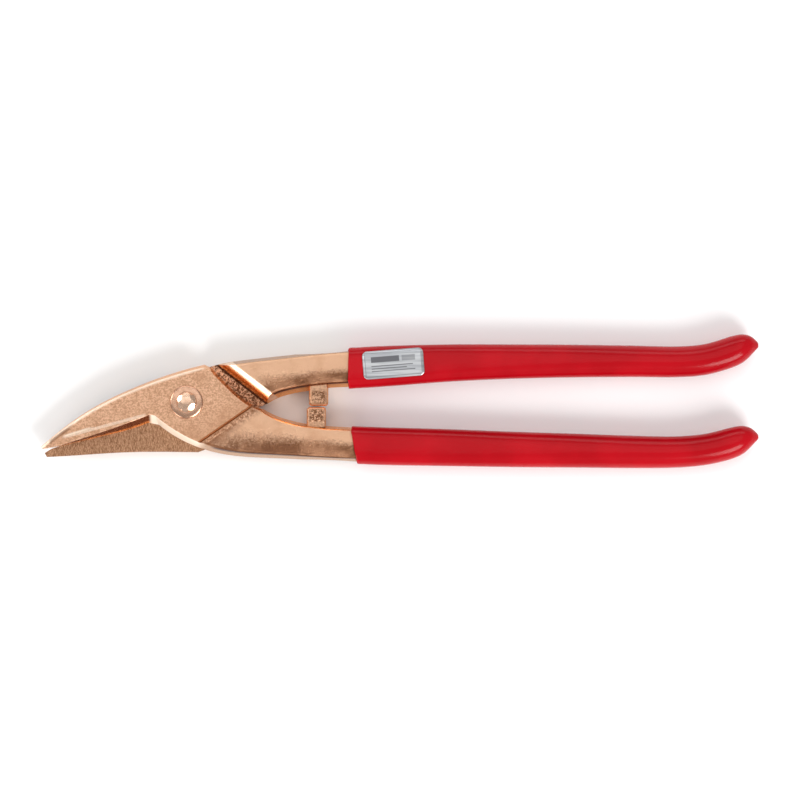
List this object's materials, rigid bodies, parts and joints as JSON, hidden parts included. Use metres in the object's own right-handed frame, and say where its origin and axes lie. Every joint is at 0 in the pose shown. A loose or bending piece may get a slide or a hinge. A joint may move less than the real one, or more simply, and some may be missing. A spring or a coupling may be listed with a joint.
{
  "type": "ideal pattern tin snips",
  "caption": "Single-pivot sheet metal snips: two half-lapped bronze levers riveted together, with dipped red grips, cast closing stops and a foil label.",
  "frame": {"origin": "on the pivot axis, in the flat plane of the rivet's rear head, which the tool rests on when laid down", "axes": "+X from the pivot towards the handles, +Y towards the upper handle, +Z out of the front face along the pivot"},
  "size_m": [0.2804, 0.0535, 0.015],
  "materials": {
    "cast_bronze": "cast and ground aluminium bronze, brushed on the flats",
    "rivet_bronze": "peened bronze",
    "washer_bronze": "turned bronze",
    "dipped_vinyl": "glossy dipped red vinyl",
    "label_foil": "satin silver foil with plain grey bars"
  },
  "bodies": {
    "rear_lever": {"rear_lever": "cast_bronze", "upper_grip": "dipped_vinyl", "label": "label_foil", "pivot_rivet": "rivet_bronze", "washer": "washer_bronze"},
    "front_lever": {"front_lever": "cast_bronze", "lower_grip": "dipped_vinyl"}
  },
  "joints": [
    {"name": "pivot", "type": "hinge", "parent": "rear_lever", "child": "front_lever", "pos_m": [0, 0, 0.0065], "axis": [0, 0, -1], "range_deg": [-0.5, 40]}
  ]
}
